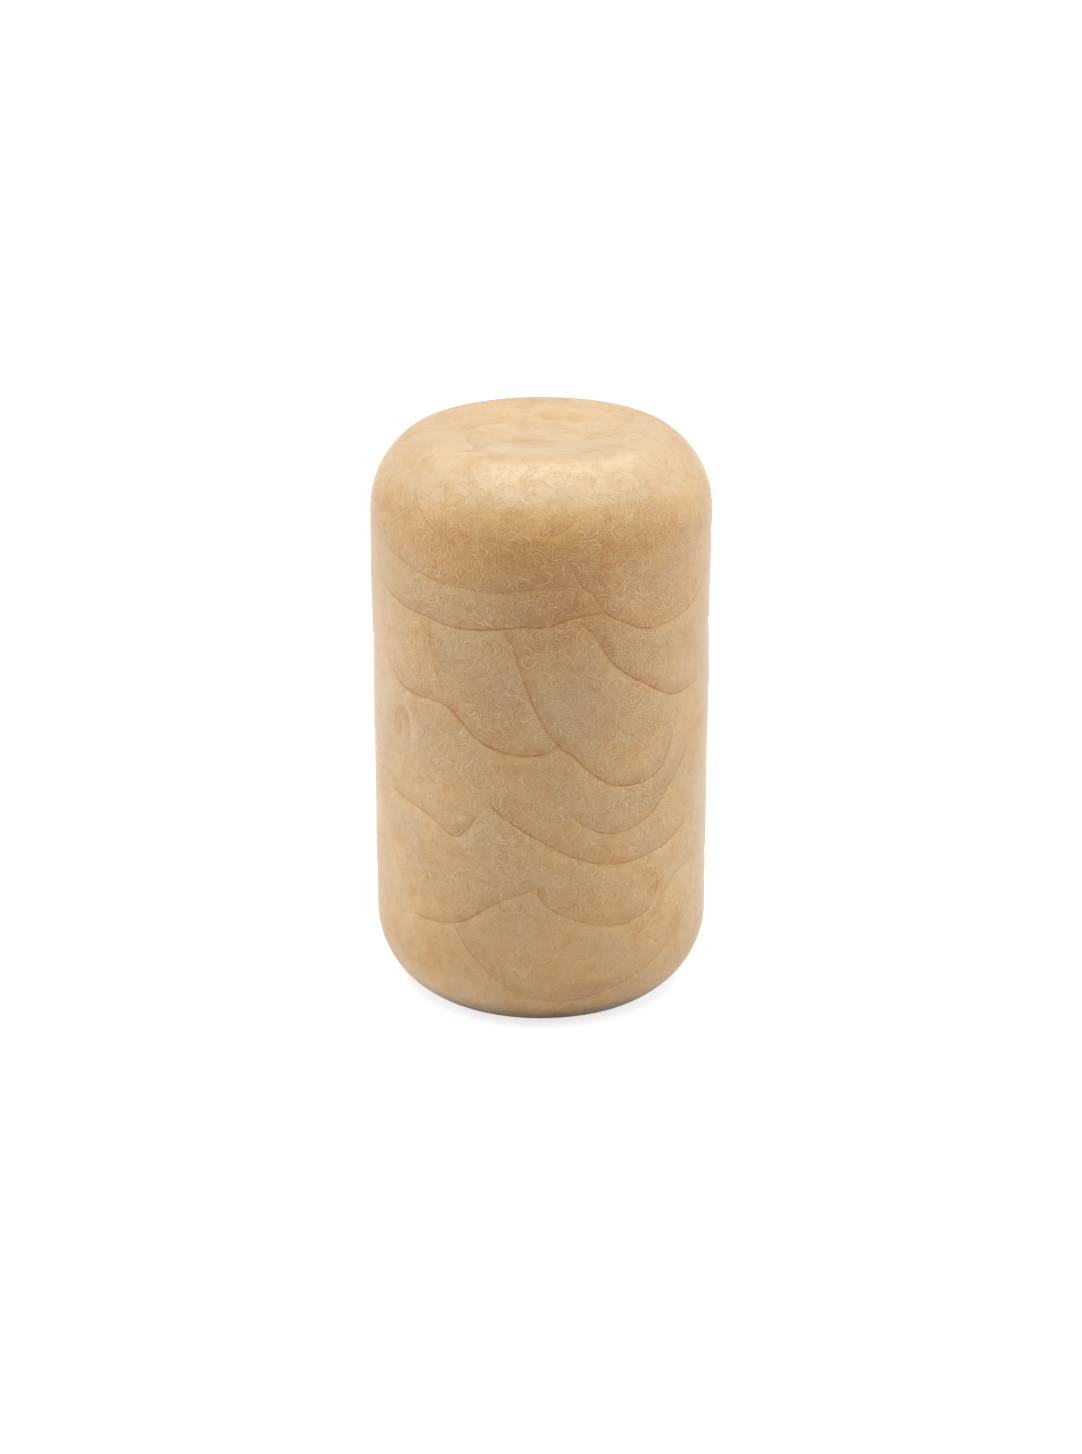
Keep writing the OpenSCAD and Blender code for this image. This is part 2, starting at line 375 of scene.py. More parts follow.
# Slow swells of the skin, each as its three waves per millimetre, phase, and height in millimetres
SWELLS = [
    (0.50, 0.31, 0.42, 0.6, 0.016),
    (-0.36, 0.55, 0.27, 2.1, 0.014),
    (0.22, -0.47, 0.66, 4.0, 0.012),
    (0.83, 0.40, -0.35, 1.3, 0.008),
    (-0.61, -0.78, 0.71, 5.2, 0.006),
]
# Hollows and swellings: degrees round, millimetres up, radius and height in millimetres
DENTS = [
    (-54, 20.7, 0.9, -0.05),
    (-8, 34.6, 1.3, -0.05),
    (4, 35.3, 1.1, 0.04),
    (46, 10.2, 0.7, 0.04),
]
# Towards the ends the swells lose most of their height. The loss starts this far above and below
# the middle and is whole after this width, in millimetres.
CALM_STARTS = 15
CALM_WIDTH = 3
CALM_SHARE = 0.75

# Section of a flow front of depth 1, in millimetres across it: the tongue's rise, its place and its
# width, the crease's depth and width, and the valley's depth and its width below and above
TONGUE = (0.45, 0.65, 0.45)
CREASE = (0.75, 0.32)
VALLEY = (0.35, 0.9, 0.4)
# A front's course is drawn in steps of this length, and its relief reaches this far, in millimetres
COURSE_STEP = 0.3
FRONT_REACH = 1.3
# The material draws a front of this depth at full strength
DEEPEST_FRONT = 0.05
# The material reads the distances to the nearest fronts in this many lanes, three at a time
LANES = 6
# The relief rises from nothing on the flat seats over this width, in millimetres
SEAT_EASE = 0.8
# The marks, stains and painted highlight of an end reach this far down from it. What lies lower is put
# out of their reach.
MARK_BAND = 1.5
STAIN_AND_HIGHLIGHT_BAND = 4.0
FAR_AWAY = 1000
# Once round the body, in millimetres
TURN = 2 * math.pi * BODY_R / MM


def deselect_all():
    bpy.ops.object.select_all(action="DESELECT")


# ---------------------------------------------------------------- skin mesh


def start_outline(name, x, z):
    """An object whose mesh is one vertex, in edit mode, from which the outline is drawn."""
    deselect_all()
    bpy.ops.mesh.primitive_plane_add(size=CELL)
    bpy.context.object.name = name
    bpy.ops.object.mode_set(mode="EDIT")
    bpy.ops.mesh.merge(type="CENTER")
    bpy.ops.transform.translate(value=(x, 0, z))


def run_outline(dx, dz):
    """Draws the outline on in a straight line."""
    steps = round(math.hypot(dx, dz) / CELL)
    for _ in range(steps):
        bpy.ops.mesh.extrude_region_move(TRANSFORM_OT_translate={"value": (dx / steps, 0, dz / steps)})


def turn_outline(centre_x, centre_z, radius, angle):
    """Draws the outline on in an arc, turning from +X towards +Z."""
    steps = max(2, round(radius * angle / CELL))
    bpy.ops.mesh.spin(steps=steps, angle=angle, center=(centre_x, 0, centre_z), axis=(0, 1, 0))


def draw_lower_half(name):
    """Outline from the rim of the lower sink up to the middle, which is at height 0."""
    sink_rim_x = SEAT_INNER_R - SINK_EDGE_R * math.sin(SINK_TURN)
    sink_rim_z = SINK_EDGE_R * (1 - math.cos(SINK_TURN)) - HALF_L
    start_outline(name, sink_rim_x, sink_rim_z)
    turn_outline(SEAT_INNER_R, SINK_EDGE_R - HALF_L, SINK_EDGE_R, SINK_TURN)
    run_outline(SEAT_W, 0)
    turn_outline(SEAT_OUTER_R, RIM_R - HALF_L, RIM_R, RIM_TURN)
    turn_outline(BODY_R - SIDE_ARC_R, SHOULDER_DROP - HALF_L, SIDE_ARC_R, SIDE_TURN)
    run_outline(0, HALF_L - SHOULDER_DROP)


def fill_sink():
    """Fills the open loop at the lower end with a grid of even cells."""
    bpy.ops.mesh.select_mode(type="EDGE")
    bpy.ops.mesh.select_all(action="DESELECT")
    bpy.ops.mesh.select_non_manifold(extend=False, use_wire=False, use_multi_face=False)
    bpy.ops.object.mode_set(mode="OBJECT")
    mesh = bpy.context.object.data
    middle = -HALF_L / 2
    for edge in mesh.edges:
        edge.select = edge.select and mesh.vertices[edge.vertices[0]].co.z < middle
    bpy.ops.object.mode_set(mode="EDIT")
    bpy.ops.mesh.fill_grid(span=ROUND_STEPS // 4)


def dish_sink(skin):
    """Lifts the flat grid at the lower end, inside its rim, onto the ball that the sink is part of."""
    ball_z = SINK_DEPTH - SINK_R - HALF_L
    rim = SEAT_INNER_R - SINK_EDGE_R * math.sin(SINK_TURN)
    inside = rim - CELL / 10
    for vertex in skin.data.vertices:
        reach = math.hypot(vertex.co.x, vertex.co.y)
        if vertex.co.z < -HALF_L / 2 and reach < inside:
            vertex.co.z = ball_z + math.sqrt(SINK_R**2 - reach**2)


def mirror_halves(skin):
    """Copies the lower half onto the upper half and stands the cork on the floor."""
    mirror = skin.modifiers.new("upper half", "MIRROR")
    mirror.use_axis = (False, False, True)
    mirror.merge_threshold = CELL / 100
    bpy.ops.object.modifier_apply(modifier=mirror.name)
    skin.location.z = HALF_L
    bpy.ops.object.transform_apply(location=True, rotation=False, scale=False)


def make_skin(name):
    draw_lower_half(name)
    skin = bpy.context.object
    bpy.ops.mesh.select_all(action="SELECT")
    bpy.ops.mesh.spin(steps=ROUND_STEPS, angle=2 * math.pi, center=(0, 0, 0), axis=(0, 0, 1))
    fill_sink()
    bpy.ops.object.mode_set(mode="OBJECT")
    dish_sink(skin)
    mirror_halves(skin)
    bpy.ops.object.mode_set(mode="EDIT")
    bpy.ops.mesh.select_all(action="SELECT")
    bpy.ops.mesh.normals_make_consistent(inside=False)
    bpy.ops.object.mode_set(mode="OBJECT")
    bpy.ops.object.shade_smooth()
    return skin


# ---------------------------------------------------------------- relief of the skin


def unroll(angle):
    """Millimetres round the body for degrees round."""
    return np.radians(angle) * BODY_R / MM


def wrap_round(side, middle):
    """Places on the side, brought round to within half a turn of the middle."""
    across = middle + (side[:, 0] - middle + TURN / 2) % TURN - TURN / 2
    return np.column_stack([across, side[:, 1]])


def smooth_course(points):
    """Even points along a smooth line through given ones, in millimetres."""
    knots = np.array(points)
    knots = np.vstack([knots[:1], knots, knots[-1:]])
    course = []
    for before, start, end, after in zip(knots, knots[1:], knots[2:], knots[3:]):
        steps = max(1, round(np.linalg.norm(end - start) / COURSE_STEP))
        t = np.arange(steps)[:, None] / steps
        course.append(
            start
            + (end - before) * t / 2
            + (2 * before - 5 * start + 4 * end - after) * t**2 / 2
            + (3 * start - before - 3 * end + after) * t**3 / 2
        )
    return np.vstack([*course, knots[-1:]])


def measure_from(course, places):
    """How far each place lies from the course, positive on its left, and how far along it."""
    nearest = np.full(len(places), np.inf)
    distance = np.zeros(len(places))
    along = np.zeros(len(places))
    passed = 0.0
    for start, end in zip(course, course[1:]):
        line = end - start
        length = np.linalg.norm(line)
        offset = places - start
        share = np.clip(offset @ line / length**2, 0, 1)
        gap = np.linalg.norm(offset - share[:, None] * line, axis=1)
        side = np.sign(line[0] * offset[:, 1] - line[1] * offset[:, 0])
        closer = gap < nearest
        nearest = np.where(closer, gap, nearest)
        distance = np.where(closer, side * gap, distance)
        along = np.where(closer, passed + share * length, along)
        passed += length
    return distance, along, passed


def ease(x):
    """Runs smoothly from 0 to 1 as x does."""
    x = np.clip(x, 0, 1)
    return x * x * (3 - 2 * x)


def crease_height(distance):
    """Height across a flow front of depth 1: the upper tongue swells, then tucks into the crease."""
    rise, middle, width = TONGUE
    tongue = rise * np.exp(-(((distance - middle) / width) ** 2))
    fall, width = CREASE
    crease = fall * np.exp(-((distance / width) ** 2))
    fall, below, above = VALLEY
    valley = fall * np.where(distance < 0, np.exp(distance / below), np.exp(-((distance / above) ** 2)))
    return tongue - crease - valley


def lay_mark(depth, lane, fades, course, places, relief, distances, strengths):
    """Adds one front or mark to the relief, and to its lane where it is the nearest one."""
    low = course.min(axis=0) - FRONT_REACH
    high = course.max(axis=0) + FRONT_REACH
    near = np.flatnonzero(((places > low) & (places < high)).all(axis=1))
    distance, along, length = measure_from(course, places[near])
    strength = ease(along / fades[0]) * ease((length - along) / fades[1])
    strength = strength * ease(2 * (1 - np.abs(distance) / FRONT_REACH))
    relief[near] += depth * strength * crease_height(distance)
    closer = np.abs(distance) < np.abs(distances[lane, near])
    chosen = near[closer]
    distances[lane, chosen] = distance[closer]
    strengths[lane, chosen] = strength[closer] * depth / DEEPEST_FRONT


def swell_height(x, y, z):
    """Slow unevenness of a moulded foam surface, in millimetres. The ends are flatter than the side."""
    height = np.zeros(len(x))
    for across, round_, up, phase, amount in SWELLS:
        height += amount * np.sin(across * x + round_ * y + up * z + phase)
    near_end = ease((np.abs(z - HALF_L / MM) - CALM_STARTS) / CALM_WIDTH)
    return height * (1 - CALM_SHARE * near_end)


def add_spots(places, spots):
    """Soft round spots. Each is its place in millimetres, its radius, and one or more amounts."""
    total = 0
    for across, up, radius, *amounts in spots:
        gap = np.hypot(places[:, 0] - across, places[:, 1] - up) / radius
        total = total + np.exp(-(gap**2))[:, None] * amounts
    return total


def add_side_spots(side, spots):
    """Spots on the side, placed by degrees round and millimetres up."""
    total = 0
    for angle, *spot in spots:
        total = total + add_spots(wrap_round(side, unroll(angle)), [(unroll(angle), *spot)])
    return total


def add_vectors(mesh, name, columns):
    """Stores three numbers on each vertex, for the material to read."""
    attribute = mesh.attributes.new(name, "FLOAT_VECTOR", "POINT")
    attribute.data.foreach_set("vector", np.column_stack(columns).astype(np.float32).ravel())


def lay_out_ends(x, y, z, band):
    """Places on the two ends in millimetres right and back. What lies past the band is put far away."""
    ends = []
    for mirror, turn in ((1, 0), (-1, math.radians(END_TURN))):
        cos, sin = math.cos(turn), math.sin(turn)
        end = np.column_stack([x * cos + y * sin, mirror * (y * cos - x * sin)])
        end[mirror * (z - HALF_L / MM) < HALF_L / MM - band] = FAR_AWAY
        ends.append(end)
    return ends


def find_marks(x, y, z, side):
    """Relief of the fronts and end marks, and the distances and strengths that they are drawn by."""
    relief = np.zeros(len(x))
    distances = np.full((LANES, len(x)), FRONT_REACH)
    strengths = np.zeros((LANES, len(x)))
    for depth, lane, fades, points in FRONTS:
        course = smooth_course([(unroll(angle), height) for angle, height in points])
        local = wrap_round(side, course[:, 0].mean())
        lay_mark(depth, lane, fades, course, local, relief, distances, strengths)
    for end in lay_out_ends(x, y, z, MARK_BAND):
        for depth, lane, fades, points in END_MARKS:
            lay_mark(depth, lane, fades, smooth_course(points), end, relief, distances, strengths)
    return relief, distances, strengths


def raise_relief(skin):
    """Moves the vertices along their normals by the relief, and stores what the material reads."""
    mesh = skin.data
    count = len(mesh.vertices)
    places = np.zeros(count * 3)
    normals = np.zeros(count * 3)
    mesh.vertices.foreach_get("co", places)
    mesh.vertices.foreach_get("normal", normals)
    places = places.reshape(-1, 3)
    normals = normals.reshape(-1, 3)
    x, y, z = places.T / MM
    side = np.column_stack([np.arctan2(x, -y) * BODY_R / MM, z])
    relief, distances, strengths = find_marks(x, y, z, side)
    relief += swell_height(x, y, z) + add_side_spots(side, DENTS)[:, 0]
    off_seat = np.abs(np.hypot(x, y) - (SEAT_INNER_R + SEAT_OUTER_R) / 2 / MM) - SEAT_W / 2 / MM
    places += normals * (relief * ease(off_seat / SEAT_EASE))[:, None] * MM
    mesh.vertices.foreach_set("co", places.ravel())
    for first in range(0, LANES, 3):
        add_vectors(mesh, f"front_distance_{first}", distances[first:first + 3])
        add_vectors(mesh, f"front_strength_{first}", strengths[first:first + 3])
    # Stains, with painted sheen on the flanks and painted highlight at the front of each end's shoulder
    stains_and_highlights = add_side_spots(side, SIDE_STAINS_AND_SHEEN)
    for end in lay_out_ends(x, y, z, STAIN_AND_HIGHLIGHT_BAND):
        stains_and_highlights += add_spots(end, END_STAINS_AND_HIGHLIGHT)
    add_vectors(mesh, "stains_and_highlights", stains_and_highlights.T)
    add_vectors(mesh, "outward", normals.T)
    mesh.update()


# ---------------------------------------------------------------- material tools


def put(tree, kind, inputs, **settings):
    """Adds a node. Each input is a value, or the socket that feeds it."""
    node = tree.nodes.new(kind)
    for name, value in settings.items():
        setattr(node, name, value)
    for key, value in inputs.items():
        if isinstance(value, bpy.types.NodeSocket):
            tree.links.new(value, node.inputs[key])
        else:
            node.inputs[key].default_value = value
    return node


def calc(tree, operation, first, second=0.0, clamp=False):
    node = put(tree, "ShaderNodeMath", {0: first, 1: second}, operation=operation, use_clamp=clamp)
    return node.outputs[0]


def calc_vector(tree, operation, first, second=(0, 0, 0)):
    node = put(tree, "ShaderNodeVectorMath", {0: first, 1: second}, operation=operation)
    return node.outputs["Vector"]


def scale_vector(tree, vector, factor):
    node = put(tree, "ShaderNodeVectorMath", {0: vector, "Scale": factor}, operation="SCALE")
    return node.outputs["Vector"]


def blend_colour(tree, factor, first, second, how="MIX"):
    """Mixes two colours. The Mix node has them at inputs 6 and 7, and the result at output 2."""
    inputs = {0: factor, 6: first, 7: second}
    node = put(tree, "ShaderNodeMix", inputs, data_type="RGBA", blend_type=how)
    return node.outputs[2]


def remap(tree, value, low, high, to_low=0.0, to_high=1.0):
    """Eases value from one range to another, and holds it beyond the ends."""
    node = put(
        tree,
        "ShaderNodeMapRange",
        {"Value": value, "From Min": low, "From Max": high, "To Min": to_low, "To Max": to_high},
        interpolation_type="SMOOTHSTEP",
    )
    return node.outputs["Result"]


def noise(tree, vector, scale, detail=2.0, roughness=0.5, output="Fac"):
    node = put(
        tree,
        "ShaderNodeTexNoise",
        {"Vector": vector, "Scale": scale, "Detail": detail, "Roughness": roughness},
        noise_dimensions="3D",
    )
    return node.outputs[output]


def patchy(tree, place, patches):
    """A mask of uneven patches, from one row of the patches' table."""
    scale, detail, roughness, *ramp = patches
    return remap(tree, noise(tree, place, scale, detail, roughness), *ramp)


def between(tree, value, starts, stops):
    """1 between two ramps, each given by the two values that it eases over."""
    return calc(tree, "MULTIPLY", remap(tree, value, *starts), remap(tree, value, *stops))


def start_group(name, inputs, outputs):
    """An empty shader node group with named sockets. inputs gives (name, socket type, default)."""
    group = bpy.data.node_groups.new(name, "ShaderNodeTree")
    for label, kind, default in inputs:
        socket = group.interface.new_socket(label, in_out="INPUT", socket_type=kind)
        if default is not None:
            socket.default_value = default
    for label, kind in outputs:
        group.interface.new_socket(label, in_out="OUTPUT", socket_type=kind)
    source = group.nodes.new("NodeGroupInput")
    result = group.nodes.new("NodeGroupOutput")
    return group, source.outputs, result.inputs


def use_group(tree, group, inputs):
    return put(tree, "ShaderNodeGroup", inputs, node_tree=group).outputs


def strongest(tree, vector):
    """The largest of a vector's three numbers."""
    parts = put(tree, "ShaderNodeSeparateXYZ", {0: vector}).outputs
    return calc(tree, "MAXIMUM", calc(tree, "MAXIMUM", parts[0], parts[1]), parts[2])


def bell(tree, distance, width):
    """1 on the line and 0 from width away, for three distances at once."""
    share = scale_vector(tree, distance, calc(tree, "DIVIDE", 1.0, width))
    square = calc_vector(tree, "MULTIPLY", share, share)
    left = calc_vector(tree, "MAXIMUM", calc_vector(tree, "SUBTRACT", (1, 1, 1), square))
    return calc_vector(tree, "MULTIPLY", left, left)


def make_front_group():
    """Turns distances to three flow fronts into the line, the shade over it and the light under it."""
    group, source, result = start_group(
        "Flow front",
        [
            ("Distance", "NodeSocketVector", None),
            ("Strength", "NodeSocketVector", None),
            ("Line Width", "NodeSocketFloat", 0.1),
            ("Shade Width", "NodeSocketFloat", 1.0),
        ],
        [("Line", "NodeSocketFloat"), ("Shade", "NodeSocketFloat"), ("Light", "NodeSocketFloat")],
    )
    distance = source["Distance"]
    strength = source["Strength"]
    line = calc_vector(group, "MULTIPLY", bell(group, distance, source["Line Width"]), strength)
    group.links.new(strongest(group, line), result["Line"])
    wide = calc_vector(group, "MULTIPLY", bell(group, distance, source["Shade Width"]), strength)
    side = calc_vector(group, "SIGN", distance)
    for label, sign in (("Shade", 1.0), ("Light", -1.0)):
        mask = calc_vector(group, "MAXIMUM", scale_vector(group, side, sign))
        group.links.new(strongest(group, calc_vector(group, "MULTIPLY", wide, mask)), result[label])
    return group


def make_curl_group():
    """Short raised hairlines with a groove beside each: rings round scattered points, cut into arcs."""
    group, source, result = start_group(
        "Skin curls",
        [
            ("Vector", "NodeSocketVector", None),
            ("Outward", "NodeSocketVector", None),
            ("Cell", "NodeSocketFloat", 1.0),
            ("Spacing", "NodeSocketFloat", 0.4),
            ("Width", "NodeSocketFloat", 0.07),
            ("Warp", "NodeSocketFloat", 1.0),
            ("Arc Length", "NodeSocketFloat", 1.0),
            ("Cover", "NodeSocketFloat", 0.4),
        ],
        [("Curl", "NodeSocketFloat"), ("Groove", "NodeSocketFloat")],
    )
    place = source["Vector"]
    wander = noise(group, place, RING_WANDER, 1.0, output="Color")
    drift = calc_vector(group, "SUBTRACT", wander, (0.5, 0.5, 0.5))
    bent = calc_vector(group, "ADD", place, scale_vector(group, drift, source["Warp"]))
    cells = put(
        group,
        "ShaderNodeTexVoronoi",
        {"Vector": bent, "Scale": calc(group, "DIVIDE", 1.0, source["Cell"])},
        voronoi_dimensions="3D",
        feature="F1",
    )
    spoke = calc_vector(group, "SUBTRACT", bent, cells.outputs["Position"])
    radius = put(group, "ShaderNodeVectorMath", {0: spoke}, operation="LENGTH").outputs["Value"]
    # A shell that meets the surface flat would show as a blob, so its line is thinned by the slope
    lean = calc_vector(group, "NORMALIZE", spoke)
    slope = put(group, "ShaderNodeVectorMath", {0: lean, 1: source["Outward"]}, operation="DOT_PRODUCT")
    slope = slope.outputs["Value"]
    steep = calc(group, "MULTIPLY", slope, slope)
    across = calc(group, "SQRT", calc(group, "SUBTRACT", 1.0, steep, clamp=True))
    rings = calc(group, "DIVIDE", radius, source["Spacing"])
    ring = calc(group, "FLOOR", rings)
    off_middle = calc(group, "SUBTRACT", calc(group, "SUBTRACT", rings, ring), 0.5)
    own = put(
        group,
        "ShaderNodeTexWhiteNoise",
        {"Vector": cells.outputs["Color"], "W": ring},
        noise_dimensions="4D",
    )
    apart = calc_vector(group, "ADD", place, scale_vector(group, own.outputs["Color"], ARC_SHIFT))
    cut = noise(group, apart, calc(group, "DIVIDE", 1.0, source["Arc Length"]), 0.0)
    edge = calc(group, "SUBTRACT", 1.0, source["Cover"])
    shown = remap(group, calc(group, "SUBTRACT", cut, edge), *ARC_ENDS)
    width = calc(group, "MULTIPLY", calc(group, "MULTIPLY", source["Width"], across), shown)
    share = calc(group, "DIVIDE", calc(group, "MULTIPLY", off_middle, source["Spacing"]), width)
    for label, middle in (("Curl", CURL_MIDDLE), ("Groove", GROOVE_MIDDLE)):
        off = calc(group, "SUBTRACT", share, middle)
        arc = calc(group, "SUBTRACT", 1.0, calc(group, "MULTIPLY", off, off), clamp=True)
        group.links.new(calc(group, "MULTIPLY", arc, shown), result[label])
    return group


# ---------------------------------------------------------------- skin material


def read_attribute(tree, name):
    return put(tree, "ShaderNodeAttribute", {}, attribute_name=name).outputs["Vector"]


def tint(tree, colour, amount, by):
    return blend_colour(tree, amount, colour, by, "MULTIPLY")


def draw_fronts(tree, place):
    """Line, shade and light of all flow fronts, from the skin's attributes."""
    group = make_front_group()
    widths = {"Line Width": patchy(tree, place, LINE_WIDTHS), "Shade Width": FRONT_REACH}
    found = []
    for first in range(0, LANES, 3):
        distance = read_attribute(tree, f"front_distance_{first}")
        strength = read_attribute(tree, f"front_strength_{first}")
        found.append(use_group(tree, group, {"Distance": distance, "Strength": strength, **widths}))
    line, shade, light = [
        calc(tree, "MAXIMUM", *(outputs[label] for outputs in found))
        for label in ("Line", "Shade", "Light")
    ]
    return calc(tree, "MULTIPLY", line, patchy(tree, place, LINE_GAPS)), shade, light


def draw_rings(tree, group, place, layers):
    """All layers of curls in one mask, and their grooves in another."""
    outward = read_attribute(tree, "outward")
    masks = {"Curl": 0.0, "Groove": 0.0}
    for strength, shift, *shape in layers:
        shape = dict(zip(("Cell", "Spacing", "Width", "Warp", "Arc Length", "Cover"), shape))
        moved = calc_vector(tree, "ADD", place, shift)
        layer = use_group(tree, group, {"Vector": moved, "Outward": outward, **shape})
        for label, mask in masks.items():
            masks[label] = calc(tree, "MAXIMUM", mask, calc(tree, "MULTIPLY", layer[label], strength))
    return masks["Curl"], masks["Groove"]


def draw_curls(tree, place, height, back):
    """Masks of the curls and their grooves, and of the long creases and the pale strand beside each."""
    group = make_curl_group()
    crease, strand = draw_rings(tree, group, place, CREASES)
    side = patchy(tree, place, CURL_PATCHES)
    for low, high, strength in CURL_ZONES:
        side = calc(tree, "MULTIPLY", side, remap(tree, height, low, high, 1.0, strength))
    flank = remap(tree, calc(tree, "ABSOLUTE", back), *FLANKS, FLANK_CURLS, 1.0)
    side = calc(tree, "MULTIPLY", side, flank)
    shoulder = between(tree, height, FRIZZ_STARTS, FRIZZ_STOPS)
    masks = []
    long_masks = draw_rings(tree, group, place, CURLS)
    short_masks = draw_rings(tree, group, place, FRIZZ)
    for long, short in zip(long_masks, short_masks):
        long = calc(tree, "MULTIPLY", long, side)
        short = calc(tree, "MULTIPLY", short, shoulder)
        masks.append(calc(tree, "MAXIMUM", long, short))
    return *masks, crease, strand


def colour_zones(tree, place, height):
    """Two tans in clouds on the side, a paler one on the ends, and the blotches, stained patches,
    painted highlight and painted sheen on them.
    """
    wander = calc(tree, "SUBTRACT", noise(tree, place, *ZONE_WANDER), 0.5)
    uneven = calc(tree, "ADD", height, calc(tree, "MULTIPLY", wander, WANDER_HEIGHT))
    end = calc(tree, "MAXIMUM", remap(tree, uneven, *UPPER_END), remap(tree, uneven, *LOWER_END))
    colour = blend_colour(tree, patchy(tree, place, CLOUDS), GREY_TAN, WARM_TAN)
    colour = blend_colour(tree, end, colour, END_TAN)
    shows = remap(tree, end, 0.0, 1.0, SIDE_BLOTCHES, 1.0)
    blotch = calc(tree, "MULTIPLY", patchy(tree, place, BLOTCHES), shows)
    colour = tint(tree, colour, blotch, BLOTCH_TINT)
    colour = tint(tree, colour, patchy(tree, place, FLECKS), BLOTCH_TINT)
    shoulder = between(tree, uneven, SHOULDER_STARTS, SHOULDER_STOPS)
    colour = tint(tree, colour, shoulder, SHOULDER_TINT)
    stains_and_highlights = put(tree, "ShaderNodeSeparateXYZ", {0: read_attribute(tree, "stains_and_highlights")}).outputs
    ragged = patchy(tree, place, RAGGED_STAINS_AND_HIGHLIGHTS)
    # The pale stain colour also paints the highlight at the front of the ends' shoulders and the sheen
    # on the flanks
    for number, stain in enumerate((WARM_STAIN, GREY_STAIN, PALE_STAIN_AND_HIGHLIGHT)):
        amount = calc(tree, "MULTIPLY", stains_and_highlights[number], ragged, clamp=True)
        colour = tint(tree, colour, amount, stain)
    return colour


def bump_surface(tree, place, curl, groove, line, crease):
    """Normals of the fine relief: curls stand up, lines and creases sink, and grain covers all."""
    rise = calc(tree, "MULTIPLY", calc(tree, "SUBTRACT", curl, groove), CURL_HEIGHT)
    fall = calc(tree, "MULTIPLY", calc(tree, "ADD", line, crease), LINE_DEPTH)
    grain = calc(tree, "MULTIPLY", noise(tree, place, *GRAIN), GRAIN_HEIGHT)
    surface = calc(tree, "ADD", calc(tree, "SUBTRACT", rise, fall), grain)
    bump = put(tree, "ShaderNodeBump", {"Height": surface, "Distance": MM, "Strength": 1.0})
    return bump.outputs["Normal"]


def make_foam(name):
    material = bpy.data.materials.new(name)
    material.use_nodes = True
    tree = material.node_tree
    shader = tree.nodes["Principled BSDF"]
    place = scale_vector(tree, put(tree, "ShaderNodeTexCoord", {}).outputs["Object"], 1 / MM)
    _, back, height = put(tree, "ShaderNodeSeparateXYZ", {0: place}).outputs
    line, shade, light = draw_fronts(tree, place)
    curl, groove, crease, strand = draw_curls(tree, place, height, back)
    foot = remap(tree, height, *FOOT)

    colour = colour_zones(tree, place, height)
    colour = tint(tree, colour, shade, SHADE_TINT)
    colour = tint(tree, colour, light, LIGHT_TINT)
    pale = calc(
        tree,
        "MAXIMUM",
        calc(tree, "MULTIPLY", curl, CURL_SHOWS),
        calc(tree, "MULTIPLY", strand, STRAND_SHOWS),
    )
    colour = blend_colour(tree, pale, colour, CURL_TAN)
    # Painted shade darkens the grooves beside the curls, which the bump also sinks
    colour = tint(tree, colour, calc(tree, "MULTIPLY", groove, GROOVE_SHADE_SHOWS), GROOVE_SHADE_TINT)
    dark = calc(tree, "MAXIMUM", line, calc(tree, "MULTIPLY", crease, CREASE_SHOWS))
    colour = tint(tree, colour, dark, LINE_TINT)
    # Painted shade: the foot darkens towards the floor
    colour = tint(tree, colour, foot, FOOT_SHADE_TINT)
    tree.links.new(colour, shader.inputs["Base Color"])

    dull = remap(tree, foot, 0.0, 1.0, SKIN_ROUGHNESS, FOOT_ROUGHNESS)
    tree.links.new(dull, shader.inputs["Roughness"])
    shader.inputs["Sheen Weight"].default_value = SHEEN
    shader.inputs["Sheen Roughness"].default_value = SHEEN_ROUGHNESS
    tree.links.new(bump_surface(tree, place, curl, groove, line, crease), shader.inputs["Normal"])
    return material


# ---------------------------------------------------------------- studio


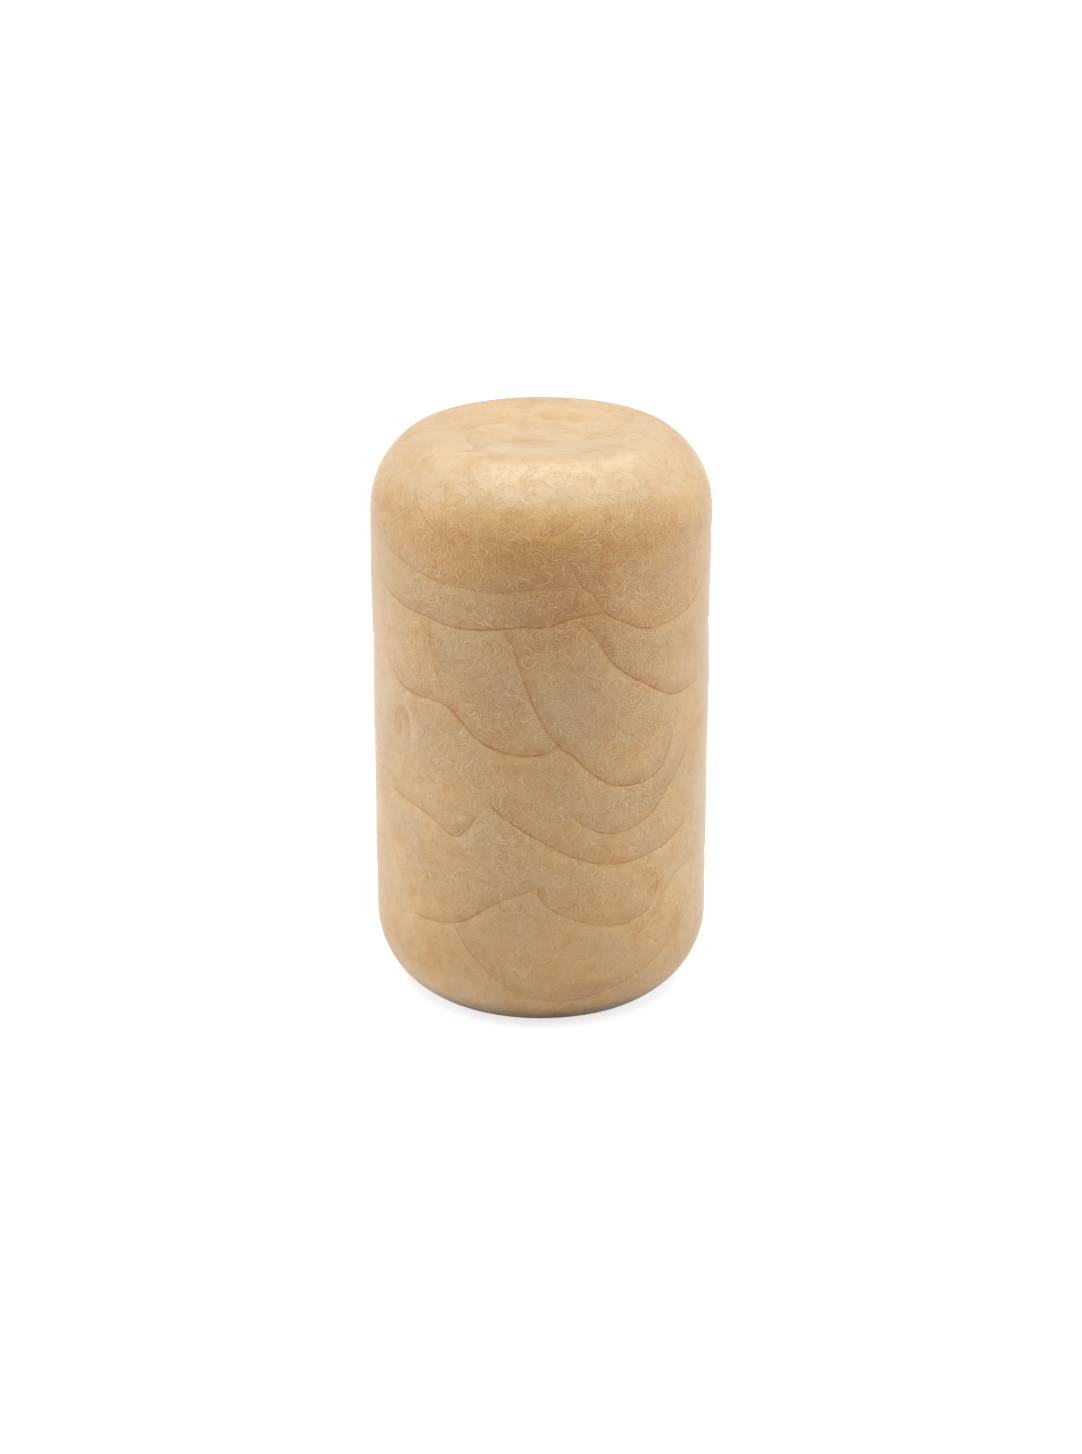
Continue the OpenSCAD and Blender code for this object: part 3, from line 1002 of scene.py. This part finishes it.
def make_floor():
    deselect_all()
    bpy.ops.mesh.primitive_plane_add(size=FLOOR_SIZE)
    floor = bpy.context.object
    floor.name = "floor"
    material = bpy.data.materials.new("pale floor")
    material.use_nodes = True
    tree = material.node_tree
    tree.nodes.clear()
    rays = put(tree, "ShaderNodeLightPath", {}).outputs["Is Camera Ray"]
    lit = put(tree, "ShaderNodeBsdfDiffuse", {"Color": FLOOR_LIT}).outputs[0]
    seen = put(tree, "ShaderNodeBsdfDiffuse", {"Color": FLOOR_SEEN}).outputs[0]
    spot = put(tree, "ShaderNodeTexCoord", {}).outputs["Object"]
    away = put(tree, "ShaderNodeVectorMath", {0: spot}, operation="LENGTH").outputs["Value"]
    strength = remap(tree, away, *FLOOR_FADE, FLOOR_GLOW, 1.0)
    glow = put(tree, "ShaderNodeEmission", {"Strength": strength}).outputs[0]
    bright = put(tree, "ShaderNodeAddShader", {0: seen, 1: glow}).outputs[0]
    mix = put(tree, "ShaderNodeMixShader", {0: rays, 1: lit, 2: bright}).outputs[0]
    put(tree, "ShaderNodeOutputMaterial", {"Surface": mix})
    floor.data.materials.append(material)
    return floor


def make_softbox(name, place, size, power):
    """A square lamp that faces the foot of the cork."""
    light = bpy.data.lights.new(name, "AREA")
    light.shape = "SQUARE"
    light.size = size
    light.energy = power
    box = bpy.data.objects.new(name, light)
    bpy.context.scene.collection.objects.link(box)
    box.location = place
    aim = -box.location
    box.rotation_euler = aim.to_track_quat("-Z", "Y").to_euler()


def light_world():
    """Even light from all round, which the camera sees as white."""
    world = bpy.data.worlds.new("studio")
    bpy.context.scene.world = world
    world.use_nodes = True
    tree = world.node_tree
    tree.nodes.clear()
    rays = put(tree, "ShaderNodeLightPath", {}).outputs["Is Camera Ray"]
    levels = {"Value": rays, "To Min": WORLD_LIGHT, "To Max": 1.0}
    level = put(tree, "ShaderNodeMapRange", levels).outputs["Result"]
    back = put(tree, "ShaderNodeBackground", {"Color": WHITE, "Strength": level}).outputs[0]
    put(tree, "ShaderNodeOutputWorld", {"Surface": back})


def make_camera():
    data = bpy.data.cameras.new("camera")
    data.lens = CAMERA_LENS
    data.clip_start = CAMERA_CLIP
    camera = bpy.data.objects.new("camera", data)
    bpy.context.scene.collection.objects.link(camera)
    camera.location = (
        0,
        -CAMERA_DISTANCE * math.cos(CAMERA_TILT),
        CAMERA_LOOKS_AT + CAMERA_DISTANCE * math.sin(CAMERA_TILT),
    )
    camera.rotation_euler = (math.pi / 2 - CAMERA_TILT, 0, 0)
    bpy.context.scene.camera = camera


bpy.context.scene.view_settings.view_transform = "Standard"
make_camera()
light_world()
for softbox in SOFTBOXES:
    make_softbox(*softbox)
floor = make_floor()

skin = make_skin("cork_skin")
raise_relief(skin)
skin.data.materials.append(make_foam("foam skin"))
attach(skin, "root")
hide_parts("cork")
